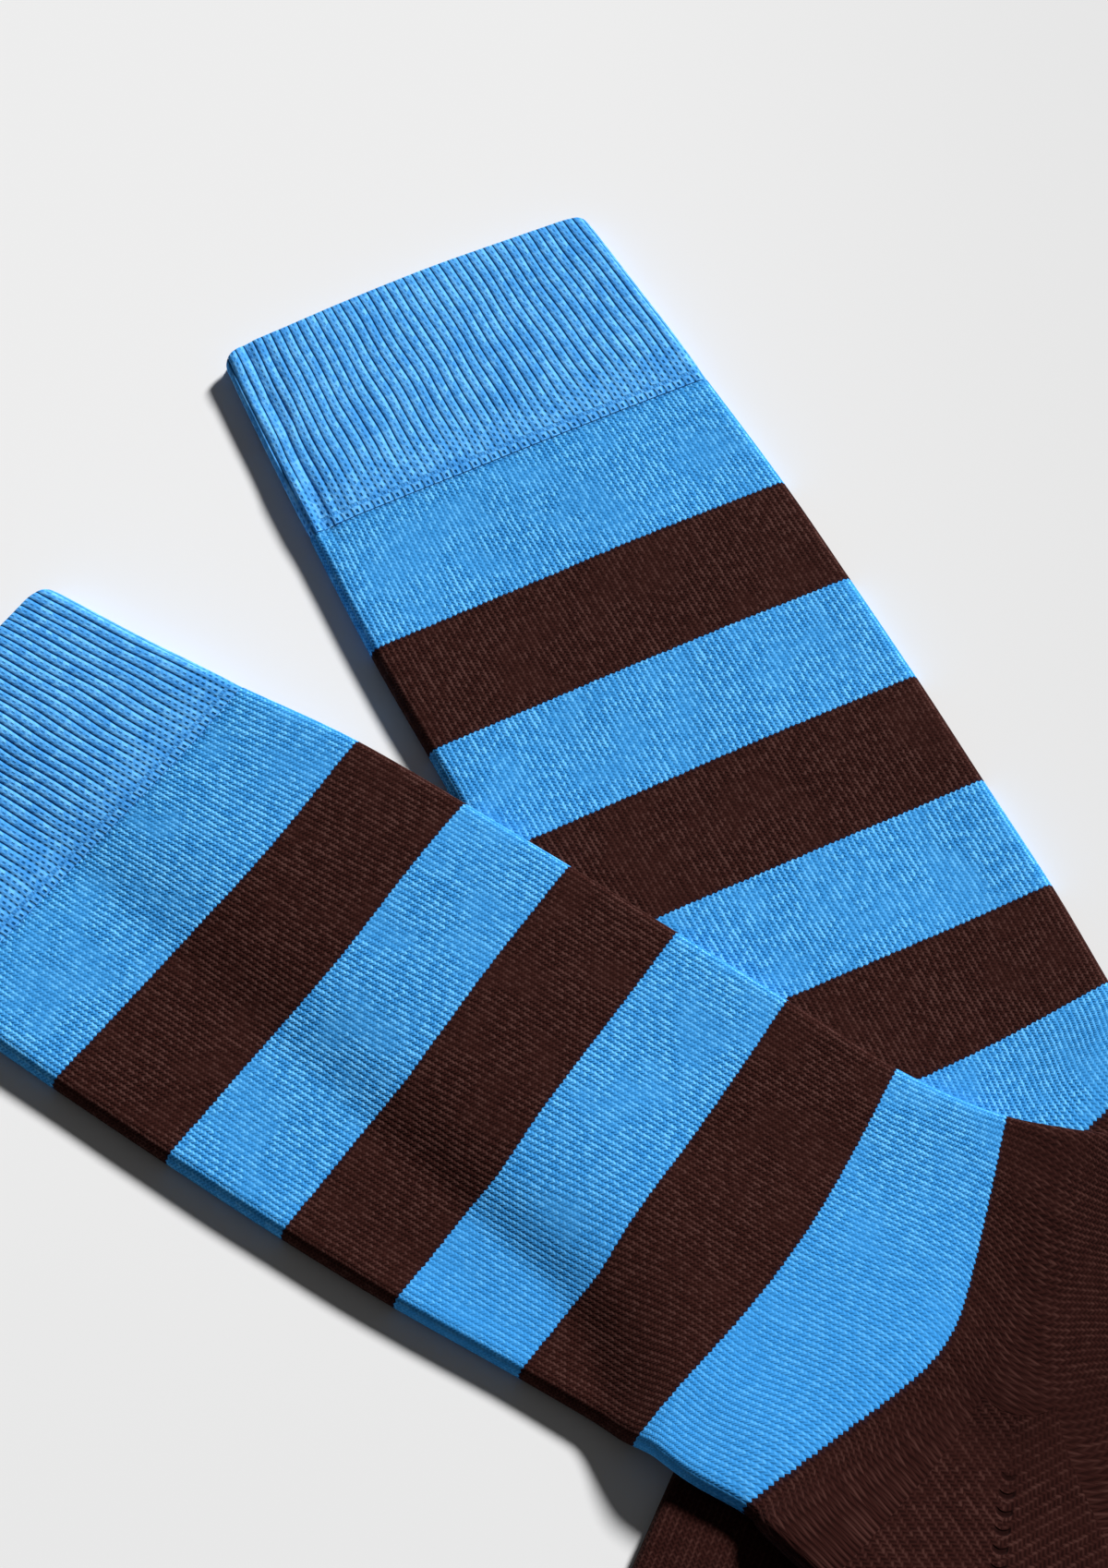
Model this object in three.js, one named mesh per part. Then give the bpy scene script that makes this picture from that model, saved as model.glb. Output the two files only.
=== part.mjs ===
// A pair of striped crew socks, laid flat one across the other.
// Millimetres, +Z up, +X to the right and +Y away from the viewer. The cloth rests on the plane z = 0.
//
// Each sock is a flattened knitted tube with its own flat frame: x runs down the leg from the mouth,
// y points at the front fold (shin and instep), and the back fold (calf, heel and sole) lies at minus y.

import * as THREE from "three";

// Cloth
const CLOTH_THICK = 4.0; // both layers of the leg, as they lie
const LEG_WALL = 1.45; // one layer of plain knit
const CUFF_THICK = 4.3; // both layers of the turned welt, between the ribs
const CUFF_WALL = 1.7; // one layer of the turned welt
const LIP_THICK = 3.3; // the rounded lip at the mouth
const LIP_LENGTH = 1.6;
const RIBS = 42; // ribs across one face of the cuff
const RIB_HEIGHT = 0.45;
const RIB_END = 1.0; // plain cloth left between the ribs and the cuff's lower seam
const SEAM_GAP = 0.3; // between pieces, and between the two socks
const MITRE = 66 * Math.PI / 180; // the gore line leans back from the leg by this angle

// Where the mouth's centre of each sock lies, and which way its leg runs
const UPPER_SOCK = { mouth: [-116.4, 10.5], heading: -34.6, mirrored: false, lift: true, ankleShift: [0, 0] };
const LOWER_SOCK = { mouth: [-29.2, 112.7], heading: -63.6, mirrored: true, lift: false, ankleShift: [5, -2] };

// How the upper sock rides over the lower one
const LIFT_SLOPE = 45; // length of the slope outside the lower sock's edge
const LIFT_SLOPE_AT_BACK = 12; // and at the upper sock's back fold, which stays down for longer
const LIFT_BACK = -42; // the back fold's y in the flat frame
const LIFT_BACK_WIDTH = 50; // the slope grows to its full length over this width
const LIFT_MARGIN = 1.5; // full height is reached this far outside the edge
const LIFT_SPARE = 0.25; // added to the seam gap, because facets cut across the slope

// Sections down each leg, one at each change of colour. A section is a line across the flat sock,
// through the front fold, the middle of the side and the back fold. "bend" is how sharply it turns
// at the side: large is a soft bow, small is a kink.
const UPPER_LEG = [
  { name: "mouth", front: [0.8, 38.2], side: [-1.6, -0.3], back: [0.5, -38.8], bend: 2.0 },
  { name: "cuff seam", front: [46.0, 40.2], side: [43.8, -0.5], back: [41.5, -41.6], bend: 2.0 },
  { name: "brown 1", front: [70.7, 41.6], side: [70.4, -0.5], back: [66.8, -42.6], bend: 2.0 },
  { name: "blue 2", front: [94.2, 41.6], side: [93.4, -0.7], back: [91.6, -43.1], bend: 2.0 },
  { name: "brown 2", front: [116.7, 41.5], side: [117.2, -0.9], back: [115.9, -43.3], bend: 2.0 },
  { name: "blue 3", front: [139.6, 41.0], side: [141.4, -0.9], back: [138.8, -42.8], bend: 1.6 },
  { name: "brown 3", front: [162.6, 40.6], side: [166.0, -0.6], back: [163.0, -41.4], bend: 1.2 },
  { name: "blue 4", front: [185.1, 40.0], side: [192.4, -0.3], back: [185.6, -40.6], bend: 0.6 },
];
const LOWER_LEG = [
  { name: "mouth", front: [0.8, 39.0], side: [-1.5, 0.0], back: [0.6, -38.4], bend: 2.0 },
  { name: "cuff seam", front: [47.3, 41.3], side: [46.2, -0.5], back: [47.6, -41.8], bend: 2.0 },
  { name: "brown 1", front: [75.9, 42.2], side: [74.2, -0.8], back: [75.6, -43.5], bend: 2.0 },
  { name: "blue 2", front: [100.2, 42.1], side: [98.7, -1.0], back: [100.4, -44.1], bend: 2.0 },
  { name: "brown 2", front: [124.9, 42.0], side: [123.8, -1.2], back: [124.6, -44.5], bend: 2.0 },
  { name: "blue 3", front: [149.2, 41.6], side: [148.9, -1.4], back: [149.4, -44.5], bend: 1.6 },
  { name: "brown 3", front: [172.6, 41.3], side: [174.0, -1.5], back: [173.6, -44.5], bend: 1.2 },
  { name: "blue 4", front: [193.5, 40.8], side: [199.5, -1.2], back: [195.0, -43.6], bend: 0.6 },
];
// Sections of the heel, from where its brown starts to the gore line at its corner. The pocket is
// knitted in between "pocket" and the same line folded over at the gore.
const HEEL = [
  { name: "heel", front: [205.0, 42.9], side: [221.8, 0.3], back: [207.2, -41.0], bend: 0.2 },
  { name: "pocket", front: [210.4, 44.9], side: [232.0, -4.7], back: [224.5, -45.4], bend: 0.3 },
  { name: "pocket middle", front: [211.8, 45.5], side: [234.3, -5.8], back: [239.5, -47.8], bend: 0.4 },
  { name: "gore", front: [213.0, 46.1], side: [236.2, -6.5], back: [252.5, -43.5], bend: 0.5 },
];
// Sections of the front of the foot, which are given in the leg's frame folded over at the gore line
const FOREFOOT = [
  { name: "ball", front: [85.0, 41.8], side: [84.5, -0.5], back: [85.0, -42.8], bend: 2.0 },
  { name: "toe", front: [60.0, 41.2], side: [57.5, -0.5], back: [60.0, -42.2], bend: 2.0 },
  { name: "toe middle", front: [41.0, 37.6], side: [36.5, -0.5], back: [41.0, -39.0], bend: 1.6 },
  { name: "toe round", front: [26.0, 30.4], side: [21.0, -0.6], back: [26.0, -32.0], bend: 1.2 },
  { name: "toe end", front: [15.6, 21.4], side: [11.8, -0.7], back: [15.6, -23.0], bend: 1.0 },
  { name: "toe tip", front: [9.8, 11.6], side: [8.2, -0.8], back: [9.8, -13.2], bend: 1.0 },
];
const TOE_POLE = { outer: [6.4, -0.8], inner: [11.0, -0.8] };
const TOE_TIP_THICK = 2.4;
const TOE_TIP_WALL = 0.8;

// Spacing of the facets along each sock
const UPPER_PITCH = 8;
const LOWER_PITCH = 17;
const ANKLE_PITCH = 8;
const TOE_PITCH = 6;
const HEEL_STEPS = 3; // facets of the heel pocket on each side of its gore line
const FACE_STEPS = 5; // facets from a fold's rim to the middle of the side
const RIM_STEPS = 2; // facets round a quarter of a fold's rim
const CUFF_UNDER_STEPS = 14;

// Points are [x, y] pairs in a sock's flat frame
const mix = (a, b, t) => a + (b - a) * t;
const clamp01 = (t) => Math.min(1, Math.max(0, t));
const easeInOut = (t) => t * t * t * (t * (6 * t - 15) + 10);

// A point folded over at the gore line, which runs through the gore section's side point
function foldAtGore([x, y], [goreX, goreY]) {
  const normal = [Math.sin(MITRE), Math.cos(MITRE)];
  const reach = (x - goreX) * normal[0] + (y - goreY) * normal[1];
  return [x - 2 * reach * normal[0], y - 2 * reach * normal[1]];
}

const changed = (row, change) => ({
  ...row, front: change(row.front), side: change(row.side), back: change(row.back),
});

// All sections of one sock, mouth to toe, with how far down the middle of the side each one lies
function sockSections(legRows, placing) {
  const [shiftX, shiftY] = placing.ankleShift;
  const heel = HEEL.map((row) => changed(row, ([x, y]) => [x + shiftX, y + shiftY]));
  const gore = heel[heel.length - 1].side;
  const folded = (rows) => rows.map((row) => changed(row, (point) => foldAtGore(point, gore)));
  const footBack = folded([...heel.slice(0, -1).reverse(), ...legRows.slice(-3).reverse()]);
  footBack.forEach((row) => { row.name = `foot ${row.name}`; });
  const forefoot = folded(FOREFOOT);
  const rows = [...legRows, ...heel, ...footBack, ...forefoot];
  let at = 0;
  rows.forEach((row, i) => {
    if (i > 0) at += Math.hypot(row.side[0] - rows[i - 1].side[0], row.side[1] - rows[i - 1].side[1]);
    row.at = at;
  });
  const pole = { outer: foldAtGore(TOE_POLE.outer, gore), inner: foldAtGore(TOE_POLE.inner, gore) };
  return { rows, pole, placing, find: (name) => rows.find((row) => row.name === name).at };
}

// A smooth curve through one column of the sections, by cubic pieces with three-point slopes
function smoothColumn(rows, read, at) {
  const last = rows.length - 1;
  const step = (i) => rows[i + 1].at - rows[i].at;
  const rise = (i) => (read(rows[i + 1]) - read(rows[i])) / step(i);
  const slope = (i) => {
    if (i === 0) return rise(0);
    if (i === last) return rise(last - 1);
    return (rise(i - 1) * step(i) + rise(i) * step(i - 1)) / (step(i - 1) + step(i));
  };
  let i = 0;
  while (i < last - 1 && at > rows[i + 1].at) i += 1;
  const h = step(i);
  const t = (at - rows[i].at) / h;
  return (2 * t ** 3 - 3 * t ** 2 + 1) * read(rows[i]) + (t ** 3 - 2 * t ** 2 + t) * h * slope(i)
    + (3 * t ** 2 - 2 * t ** 3) * read(rows[i + 1]) + (t ** 3 - t ** 2) * h * slope(i + 1);
}

// The section line at a distance down the sock, read off the smooth curves
function sectionAt(sock, at) {
  const point = (key) => [0, 1].map((axis) => smoothColumn(sock.rows, (row) => row[key][axis], at));
  return {
    front: point("front"),
    side: point("side"),
    back: point("back"),
    bend: smoothColumn(sock.rows, (row) => row.bend, at),
  };
}

// A ramp from 0 at across = -1 to 1 at across = 1 that turns at 0 as softly as "bend" says
function softRamp(across, bend) {
  const edge = Math.sqrt(1 + bend * bend);
  return (Math.sqrt(across * across + bend * bend) + across - (edge - 1)) / 2;
}

// A point of the section line: across = 1 is the front fold, -1 the back fold
function onSection(section, across) {
  const towardsFront = softRamp(across, section.bend);
  const towardsBack = softRamp(-across, section.bend);
  return [0, 1].map((axis) => section.side[axis]
    + (section.front[axis] - section.side[axis]) * towardsFront
    + (section.back[axis] - section.side[axis]) * towardsBack);
}

// The flattened tube's profile. Going round starts at the front fold: 0 to 1 is the upper face,
// 1 to 2 the lower face. It gives the place across the section, the height and the outward normal.
function profileAt(round, halfWidth, thick) {
  const radius = thick / 2;
  const rim = (Math.PI * radius) / 2;
  const straight = 2 * (halfWidth - radius);
  const upper = round <= 1;
  const length = (upper ? round : 2 - round) * (straight + 2 * rim);
  let across;
  let normal;
  if (length < rim) {
    const turn = length / radius;
    normal = [Math.cos(turn), Math.sin(turn)];
    across = halfWidth - radius + radius * normal[0];
  } else if (length < rim + straight) {
    normal = [0, 1];
    across = halfWidth - radius - (length - rim);
  } else {
    const turn = (length - rim - straight) / radius;
    normal = [-Math.sin(turn), Math.cos(turn)];
    across = -(halfWidth - radius) + radius * normal[0];
  }
  const z = radius + radius * normal[1];
  return upper ? { across, z, normal } : { across, z: thick - z, normal: [normal[0], -normal[1]] };
}

const halfWidthOf = (section) => Math.hypot(
  section.front[0] - section.back[0], section.front[1] - section.back[1]) / 2;

// A point of the cloth. "depth" is how far it lies inside the plain outer face
function clothPoint(sock, at, round, depth, thickAt) {
  const section = sectionAt(sock, at);
  const halfWidth = halfWidthOf(section);
  const profile = profileAt(round, halfWidth, thickAt(at));
  const across = (profile.across - depth * profile.normal[0]) / halfWidth;
  const [x, y] = onSection(section, across);
  return place(sock, x, y, profile.z - depth * profile.normal[1]);
}

// From a sock's flat frame to the shared one, on top of the other sock where it crosses it
function place(sock, x, y, z) {
  const { mouth, heading, mirrored, lift } = sock.placing;
  const angle = (heading * Math.PI) / 180;
  const side = mirrored ? -y : y;
  const worldX = mouth[0] + x * Math.cos(angle) - side * Math.sin(angle);
  const worldY = mouth[1] + x * Math.sin(angle) + side * Math.cos(angle);
  return [worldX, worldY, z + (lift ? liftAt(worldX, worldY, y) : 0)];
}

const lowerSock = sockSections(LOWER_LEG, LOWER_SOCK);
const upperSock = sockSections(UPPER_LEG, UPPER_SOCK);

// The lower sock's outline on the floor, front fold out and back fold home
const OUTLINE_PITCH = 4;
const lowerOutline = (() => {
  const end = lowerSock.rows[lowerSock.rows.length - 1].at;
  const stations = evenly(0, end, OUTLINE_PITCH);
  const edge = (key) => stations.map((at) => place(lowerSock, ...sectionAt(lowerSock, at)[key], 0));
  return [...edge("front"), ...edge("back").reverse()];
})();

// Distance outside the lower sock's outline, and 0 inside it
function outsideLower(x, y) {
  let nearest = Infinity;
  let inside = false;
  lowerOutline.forEach(([bx, by], i) => {
    const [ax, ay] = lowerOutline[(i + lowerOutline.length - 1) % lowerOutline.length];
    const t = clamp01(((x - ax) * (bx - ax) + (y - ay) * (by - ay)) / ((bx - ax) ** 2 + (by - ay) ** 2));
    nearest = Math.min(nearest, Math.hypot(x - mix(ax, bx, t), y - mix(ay, by, t)));
    if (ay > y !== by > y && x < mix(ax, bx, (y - ay) / (by - ay))) inside = !inside;
  });
  return inside ? 0 : nearest;
}

function liftAt(x, y, flatY) {
  const inward = easeInOut(clamp01((flatY - LIFT_BACK) / LIFT_BACK_WIDTH));
  const slope = mix(LIFT_SLOPE_AT_BACK, LIFT_SLOPE, inward);
  const nearness = clamp01(1 - (outsideLower(x, y) - LIFT_MARGIN) / (slope - LIFT_MARGIN));
  return (CLOTH_THICK + SEAM_GAP + LIFT_SPARE) * easeInOut(nearness);
}

// Evenly spaced values from one end to the other
function evenly(from, to, pitch) {
  const steps = Math.max(1, Math.round((to - from) / pitch));
  return Array.from({ length: steps + 1 }, (_, i) => mix(from, to, i / steps));
}

// Facet lines round half a face, from a fold to the middle of the side, as fractions of the round
function faceLines(halfWidth, thick) {
  const rim = (Math.PI * thick) / 4 / (2 * halfWidth - thick + (Math.PI * thick) / 2);
  const rimLines = Array.from({ length: RIM_STEPS }, (_, i) => (rim * i) / RIM_STEPS);
  return [...rimLines, ...evenly(rim, 0.5, (0.5 - rim) / FACE_STEPS)];
}

// A wall of cloth: a grid of outer and inner points, with the cells that "has" keeps, closed at every edge.
// A wall that goes all the way round repeats no line, and a toe closes on its pole.
function clothWall({ rows, columns, allRound, has = () => true, outer, inner, pole, flip }) {
  const positions = [];
  const faces = [];
  const across = allRound ? columns.length : columns.length - 1;
  const grids = [outer, inner].map((pointAt) => rows.map((at) => columns.map((round) => {
    positions.push(...pointAt(at, round));
    return positions.length / 3 - 1;
  })));
  const quad = (a, b, c, d) => faces.push([a, b, c], [a, c, d]);
  const kept = (i, j) => i >= 0 && i < rows.length - 1
    && (allRound || (j >= 0 && j < across)) && has(i, (j + across) % across);
  const corner = (grid, i, j) => grid[i][j % columns.length];
  for (let i = 0; i < rows.length - 1; i += 1) {
    for (let j = 0; j < across; j += 1) {
      if (!kept(i, j)) continue;
      const [o, n] = grids;
      quad(corner(o, i, j), corner(o, i, j + 1), corner(o, i + 1, j + 1), corner(o, i + 1, j));
      quad(corner(n, i, j), corner(n, i + 1, j), corner(n, i + 1, j + 1), corner(n, i, j + 1));
      if (!kept(i - 1, j)) quad(corner(o, i, j), corner(n, i, j), corner(n, i, j + 1), corner(o, i, j + 1));
      if (!kept(i + 1, j) && !(pole && i === rows.length - 2)) {
        quad(corner(o, i + 1, j + 1), corner(n, i + 1, j + 1), corner(n, i + 1, j), corner(o, i + 1, j));
      }
      if (!kept(i, j - 1)) quad(corner(o, i + 1, j), corner(n, i + 1, j), corner(n, i, j), corner(o, i, j));
      if (!kept(i, j + 1)) {
        quad(corner(o, i, j + 1), corner(n, i, j + 1), corner(n, i + 1, j + 1), corner(o, i + 1, j + 1));
      }
    }
  }
  if (pole) {
    const last = rows.length - 1;
    const [outerPole, innerPole] = [pole.outer, pole.inner].map((point) => {
      positions.push(...point);
      return positions.length / 3 - 1;
    });
    for (let j = 0; j < across; j += 1) {
      faces.push([corner(grids[0], last, j), corner(grids[0], last, j + 1), outerPole]);
      faces.push([corner(grids[1], last, j + 1), corner(grids[1], last, j), innerPole]);
    }
  }
  const geometry = new THREE.BufferGeometry();
  geometry.setAttribute("position", new THREE.Float32BufferAttribute(positions, 3));
  geometry.setIndex(faces.flatMap(([a, b, c]) => (flip ? [a, c, b] : [a, b, c])));
  geometry.computeVertexNormals();
  return geometry;
}

// The turned welt: 1 x 1 ribs raised on the upper face and round both folds, plain where it rests
function cuffGeometry(sock) {
  const seam = sock.find("cuff seam") - SEAM_GAP / 2;
  const thickAt = (at) => mix(LIP_THICK, CUFF_THICK, Math.sqrt(clamp01(at / LIP_LENGTH)));
  const upper = Array.from({ length: 2 * RIBS }, (_, i) => i / (2 * RIBS));
  const lower = Array.from({ length: CUFF_UNDER_STEPS }, (_, i) => 1 + i / CUFF_UNDER_STEPS);
  const columns = [...upper, ...lower];
  const rows = [0, LIP_LENGTH, seam / 2, seam - RIB_END, seam];
  const ribAt = (at, round) => {
    const raised = round > 0 && round < 1 && Math.round(round * 2 * RIBS) % 2 === 1;
    return raised && at < seam ? RIB_HEIGHT : 0;
  };
  return clothWall({
    rows,
    columns,
    allRound: true,
    outer: (at, round) => clothPoint(sock, at, round, -ribAt(at, round), thickAt),
    inner: (at, round) => clothPoint(sock, at, round, CUFF_WALL - (CUFF_THICK - thickAt(at)) / 2, thickAt),
    flip: sock.placing.mirrored,
  });
}

const legThick = () => CLOTH_THICK;

// Rounds of the four quarter faces; the two middle lines stand clear of the seam beside the heel
function roundLines(halfWidth) {
  const quarter = faceLines(halfWidth, CLOTH_THICK);
  const front = quarter.slice(0, -1);
  const clear = SEAM_GAP / 2 / (2 * halfWidth);
  return { front, clear, back: front.slice().reverse().map((round) => 1 - round) };
}

// Leg, instep and foot in one tube, open at the back where the heel pocket is let in
function tubeGeometry(sock, pitch) {
  const { front, clear, back } = roundLines(halfWidthOf(sectionAt(sock, sock.find("blue 3"))));
  const columns = [
    ...front, 0.5 - clear, ...back, // upper face
    ...back.slice(0, -1).reverse().map((round) => 2 - round), 1.5 + clear, // lower face, back half
    ...front.slice(1).reverse().map((round) => 2 - round), // lower face, front half
  ];
  const heelStart = sock.find("pocket") - SEAM_GAP / 2;
  const heelEnd = sock.find("foot pocket") + SEAM_GAP / 2;
  const ankleStart = sock.find("blue 4");
  const ankleEnd = sock.find("foot blue 4");
  const legLines = [
    ...evenly(sock.find("cuff seam") + SEAM_GAP / 2, ankleStart, pitch),
    ...evenly(ankleStart, heelStart, ANKLE_PITCH).slice(1),
  ];
  const instepLines = evenly(heelStart, heelEnd, (heelEnd - heelStart) / (2 * HEEL_STEPS)).slice(1, -1);
  const footLines = [
    ...evenly(heelEnd, ankleEnd, ANKLE_PITCH),
    ...evenly(ankleEnd, sock.find("toe") - SEAM_GAP / 2, pitch).slice(1),
  ];
  const rows = [...legLines, ...instepLines, ...footLines];
  const holeStart = columns.indexOf(0.5 - clear);
  const holeEnd = columns.indexOf(1.5 + clear);
  return clothWall({
    rows,
    columns,
    allRound: true,
    has: (i, j) => !(i >= legLines.length - 1 && i < rows.length - footLines.length
      && j >= holeStart && j < holeEnd),
    outer: (at, round) => clothPoint(sock, at, round, 0, legThick),
    inner: (at, round) => clothPoint(sock, at, round, LEG_WALL, legThick),
    flip: sock.placing.mirrored,
  });
}

// The heel pocket, from the middle of one side round the back fold to the middle of the other
function heelGeometry(sock) {
  const { clear, back } = roundLines(halfWidthOf(sectionAt(sock, sock.find("blue 3"))));
  const upper = [0.5 + clear, ...back];
  const columns = [...upper, 1, ...upper.slice().reverse().map((round) => 2 - round)];
  const start = sock.find("pocket") + SEAM_GAP / 2;
  const end = sock.find("foot pocket") - SEAM_GAP / 2;
  return clothWall({
    rows: evenly(start, end, (end - start) / (2 * HEEL_STEPS)),
    columns,
    allRound: false,
    outer: (at, round) => clothPoint(sock, at, round, 0, legThick),
    inner: (at, round) => clothPoint(sock, at, round, LEG_WALL, legThick),
    flip: sock.placing.mirrored,
  });
}

// The toe pocket, closed at its tip
function toeGeometry(sock) {
  const start = sock.find("toe") + SEAM_GAP / 2;
  const end = sock.find("toe end");
  const tip = sock.find("toe tip");
  const { front, back } = roundLines(halfWidthOf(sectionAt(sock, start)));
  const upper = [...front, 0.5, ...back];
  const columns = [...upper, 1, ...upper.slice(1).reverse().map((line) => 2 - line)];
  const tipShare = (at) => clamp01((at - end) / (tip - end));
  const thickAt = (at) => mix(CLOTH_THICK, TOE_TIP_THICK, tipShare(at));
  const poleHeight = TOE_TIP_THICK / 2;
  return clothWall({
    rows: evenly(start, tip, TOE_PITCH),
    columns,
    allRound: true,
    outer: (at, line) => clothPoint(sock, at, line, 0, thickAt),
    inner: (at, line) => clothPoint(sock, at, line, mix(LEG_WALL, TOE_TIP_WALL, tipShare(at)), thickAt),
    pole: {
      outer: place(sock, ...sock.pole.outer, poleHeight),
      inner: place(sock, ...sock.pole.inner, poleHeight),
    },
    flip: sock.placing.mirrored,
  });
}

const COLOURS = { cuff: 0x5b9fd8, leg: 0x3f96e0, heel: 0x32160f, toe: 0x32160f };

function namedMesh(name, geometry, colour) {
  const material = new THREE.MeshStandardMaterial({ color: colour, roughness: 0.95, metalness: 0 });
  const mesh = new THREE.Mesh(geometry, material);
  mesh.name = name;
  return mesh;
}

function sockGroup(name, sock, pitch) {
  const group = new THREE.Group();
  group.add(
    namedMesh(`${name}_cuff`, cuffGeometry(sock), COLOURS.cuff),
    namedMesh(`${name}_leg_and_foot`, tubeGeometry(sock, pitch), COLOURS.leg),
    namedMesh(`${name}_heel`, heelGeometry(sock), COLOURS.heel),
    namedMesh(`${name}_toe`, toeGeometry(sock), COLOURS.toe),
  );
  return group;
}

const pair = new THREE.Group();
pair.add(sockGroup("upper_sock", upperSock, UPPER_PITCH), sockGroup("lower_sock", lowerSock, LOWER_PITCH));

// The pair stands over the middle of its own footprint
const footprint = new THREE.Box3().setFromObject(pair);
pair.position.set(
  -(footprint.min.x + footprint.max.x) / 2, -(footprint.min.y + footprint.max.y) / 2, -footprint.min.z);

export default pair;
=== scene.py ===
"""A pair of striped crew socks, laid flat one across the other on a plain pale surface.

Sizes are in millimetres until a mesh is made. Each sock has its own flat frame: x runs down the leg
from the mouth, y points at the front fold (shin and instep), and the back fold lies at minus y.
"""

import math

import bpy
import numpy as np
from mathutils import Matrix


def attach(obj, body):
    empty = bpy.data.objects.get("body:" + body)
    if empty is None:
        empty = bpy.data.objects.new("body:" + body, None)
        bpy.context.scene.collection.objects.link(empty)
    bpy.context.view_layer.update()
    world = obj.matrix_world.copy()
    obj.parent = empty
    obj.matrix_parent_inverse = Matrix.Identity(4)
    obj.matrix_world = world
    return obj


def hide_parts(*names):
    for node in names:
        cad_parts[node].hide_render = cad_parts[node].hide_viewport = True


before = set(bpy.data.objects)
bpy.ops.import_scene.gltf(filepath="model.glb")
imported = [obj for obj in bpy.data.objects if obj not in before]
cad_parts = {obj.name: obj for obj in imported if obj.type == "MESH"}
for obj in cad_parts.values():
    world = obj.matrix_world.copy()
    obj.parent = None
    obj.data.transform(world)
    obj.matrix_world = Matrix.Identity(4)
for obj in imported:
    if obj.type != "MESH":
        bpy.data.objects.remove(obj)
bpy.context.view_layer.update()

MM = 0.001

# Camera, over the floor point at the middle of the picture
PICTURE = (1200, 1698)
FOCAL_PIXELS = 4500
CAMERA_HEIGHT = 631.97
CAMERA_BACK = 394.9
CAMERA_TILT = 32.0
SENSOR = 36.0
PICTURE_CENTRE = (-79.24, 93.58)

# Light
KEY_FROM = 38.0  # degrees from +Y towards +X
KEY_HEIGHT = 31.0
KEY_SIZE = 10.0
KEY_POWER = 6.1
FILL = 0.062

# Cloth
CLOTH_THICK = 4.0  # both layers, as they lie
LEG_WALL = 1.45
UNEVEN_WIDE = 0.07
UNEVEN_FINE = 0.05
CREASE_BOW = 0.35
MITRE = math.radians(66)
GORE_NORMAL = np.array([math.sin(MITRE), math.cos(MITRE)])
GORE_DOWN = np.array([math.cos(MITRE), -math.sin(MITRE)])
WALES = 84  # stitch columns across one face of the leg
COURSE_LENGTH = 0.7
STRAIGHT_WALES = 12  # the front wales turn to the foot this many wales late
LEG_WALES_RUN = math.radians(-24.5)  # on the heel's leg side, in a sock's flat frame
FOOT_WALES_RUN = math.radians(64)
LATE_TURN_SOFTNESS = 10
GORE_TURN_SOFTNESS = 4
LEAN_SOFTNESS = 2
HEEL_LEG_WALE = 1.37
HEEL_FOOT_WALE = 1.5
HEEL_COURSE = 0.85
GORE_STEP = 3.1
GORE_REACH = 1.35
FAR_FROM_GORE = -50.0  # in reaches of the gore's loops
BAND_COURSES = 34

# Cuff
CUFF_THICK = 4.3
CUFF_WALL = 1.7
CUFF_COURSES = 32
CUFF_LEVELLED = 6  # above the seam, the length over which the cuff thins to the leg
LIP_FROM = 12  # degrees round the lip
RIBS = 42
RIBS_END = 1.02  # just round the back fold
RIB_HEIGHT = 0.20
RIB_FLATNESS = 3.2
RIB_TURNED_UNDER = 1.2  # how fast a rib fades round the folds
RIB_SWAY = [(0.08, 9.0, 12), (0.04, 3.1, 17)]  # share of a rib, length down the cuff, turns round it
RIB_UNEVEN = {"share": 0.15, "ribs": 2.4, "length": 5}
RIB_FADE = {"from": 15, "length": 14.5}  # above the seam
RIB_AT_MOUTH = {"share": 0.35, "length": 3}
RIM_SHARE = 0.03  # the ribs run straight this near the folds
MOUTH_HALF = 38.5
MOUTH_CORNER = 2.6  # how far the mouth's corners are rounded off
MOUTH_CORNER_AT_BACK = 0.45
MOUTH_CORNER_SPREAD = 2.4
MOUTH_CORNER_LENGTH = 14
MOUTH_BOW = 0.35
MOUTH_BOW_TURNS = 7
MOUTH_BOW_LENGTH = 20

UPPER_SOCK = {"mouth": (-116.4, 10.5), "heading": -34.6, "mirrored": False, "lift": True, "shift": (0, 0)}
LOWER_SOCK = {"mouth": (-29.2, 112.7), "heading": -63.6, "mirrored": True, "lift": False, "shift": (5, -2)}
LIFT_SLOPE = 45
LIFT_SLOPE_AT_BACK = 12
LIFT_BACK = -42
LIFT_BACK_WIDTH = 50
LIFT_MARGIN = 1.5
LIFT = 4.55
TOP_LIFT = 3.75  # the upper face, which is pressed a little over the other sock, rises less
TOP_SLOPE = 112  # and over a longer way, as the two layers stand apart beside the other sock
TOP_SLOPE_AT_BACK = 16
TOP_BACK_WIDTH = 64
PUFF = 3.2  # how much further the upper sock's heel stands up at its back fold
PUFF_FROM = 0.55  # share of the upper face, from the front fold
LEAN = 0.62  # what stands up leans this much towards the viewer
FOLD_OUT = {"x": 197, "width": 9.5, "out": 2.8, "reach": 40}  # the upper sock's back fold before its heel
OUTLINE_PITCH = 4

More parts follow.
